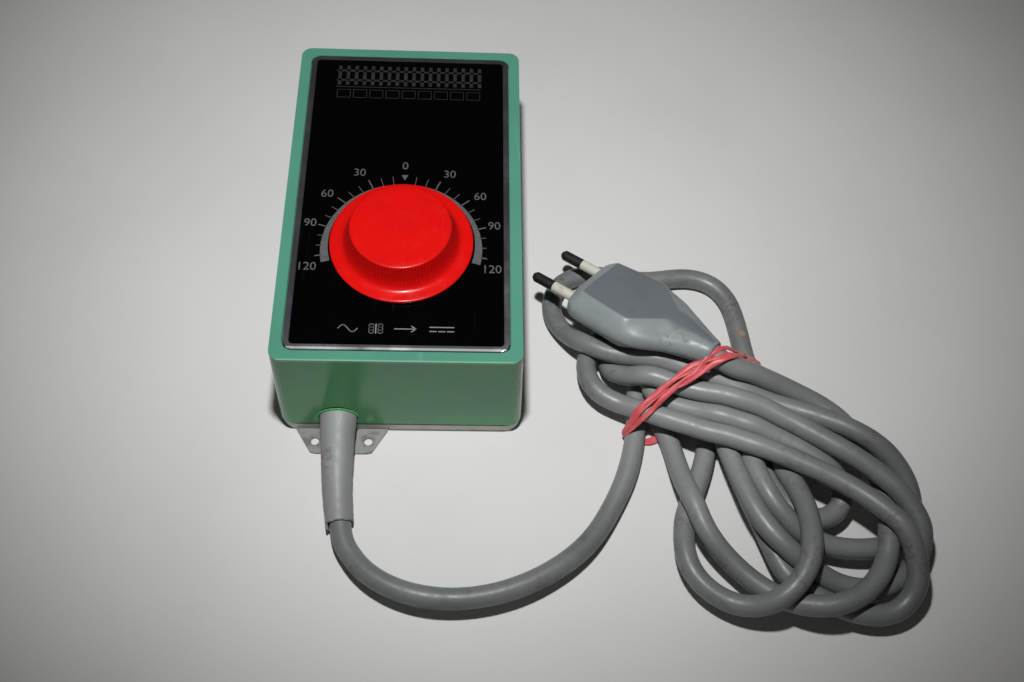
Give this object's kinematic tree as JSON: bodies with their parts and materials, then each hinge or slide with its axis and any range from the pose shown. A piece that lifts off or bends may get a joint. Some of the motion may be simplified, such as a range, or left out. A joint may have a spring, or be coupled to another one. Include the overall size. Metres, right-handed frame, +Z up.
{
  "type": "train set controller",
  "caption": "Low box with a round speed knob on a trimmed dial plate, screw lugs, and a mains lead folded in a hank with a flat two-pin plug.",
  "frame": {"origin": "centre of the case's footprint, on the underside of the base plate", "axes": "+Z up through the dial plate, +Y along the case towards the terminals, +X to the right, where the hank lies; the lead leaves the front wall, -Y"},
  "size_m": [0.229, 0.2222, 0.06],
  "materials": {
    "base_paint": "grey satin paint, a little worn at the edges",
    "case_green": "smooth moulded green, glossy",
    "zinc_steel": "zinc plated",
    "trim_aluminium": "polished edge, lightly brushed",
    "dial_black": "black print, satin",
    "knob_red": "moulded red, lightly scratched",
    "brass": "turned, dull",
    "carbon": "pressed carbon",
    "phenolic": "brown pressed phenolic",
    "resistance_wire": "close-wound oxidised wire",
    "core_iron": "stacked dark laminations",
    "bobbin_nylon": "natural nylon",
    "winding_copper": "enamelled copper wire",
    "wire_brown": "insulated core",
    "wire_blue": "insulated core",
    "relief_grey": "soft grey sleeve, scuffed",
    "cord_grey": "soft grey sheath with brownish grime",
    "band_rubber": "dull stretched rubber",
    "plug_grey": "moulded grey, satin",
    "pin_metal": "dark tarnish",
    "pin_insulation": "off-white sleeve"
  },
  "bodies": {
    "housing": {"base_plate": "base_paint", "bobbin": "bobbin_nylon", "bush_nut": "brass", "cable_clamp": "phenolic", "case": "case_green", "case_screw_1": "zinc_steel", "case_screw_2": "zinc_steel", "case_screw_3": "zinc_steel", "case_screw_4": "zinc_steel", "control_pillar_1": "zinc_steel", "control_pillar_2": "zinc_steel", "control_pillar_3": "zinc_steel", "control_plate": "phenolic", "cord_hank": "cord_grey", "cord_lead": "cord_grey", "cord_tail": "cord_grey", "core_nut_1": "zinc_steel", "core_nut_2": "zinc_steel", "core_nut_3": "zinc_steel", "core_nut_4": "zinc_steel", "core_stud_1": "zinc_steel", "core_stud_2": "zinc_steel", "core_stud_3": "zinc_steel", "core_stud_4": "zinc_steel", "dial_face": "dial_black", "inner_lead_blue": "wire_blue", "inner_lead_brown": "wire_brown", "overload_breaker": "phenolic", "pin_sleeve_1": "pin_insulation", "pin_sleeve_2": "pin_insulation", "plug_body": "plug_grey", "plug_pin_1": "pin_metal", "plug_pin_2": "pin_metal", "primary_winding": "winding_copper", "rectifier": "zinc_steel", "resistor_former": "phenolic", "resistor_winding": "resistance_wire", "rubber_band": "band_rubber", "secondary_winding": "winding_copper", "shaft_bush": "brass", "stop_pin_1": "zinc_steel", "stop_pin_2": "zinc_steel", "strain_relief": "relief_grey", "terminal_block": "phenolic", "terminal_screw_1": "brass", "terminal_screw_2": "brass", "terminal_screw_3": "brass", "terminal_screw_4": "brass", "transformer_core": "core_iron", "trim_plate": "trim_aluminium", "zero_stop_spring": "zinc_steel"},
    "speed_knob": {"knob": "knob_red", "knob_shaft": "zinc_steel", "wiper_hub": "brass", "wiper_arm": "zinc_steel", "wiper_brush": "carbon"}
  },
  "joints": [
    {"name": "knob_turn", "type": "hinge", "parent": "housing", "child": "speed_knob", "pos_m": [0, -0.0221, 0.0498], "axis": [0, 0, 1], "range_deg": [-105, 105]}
  ]
}
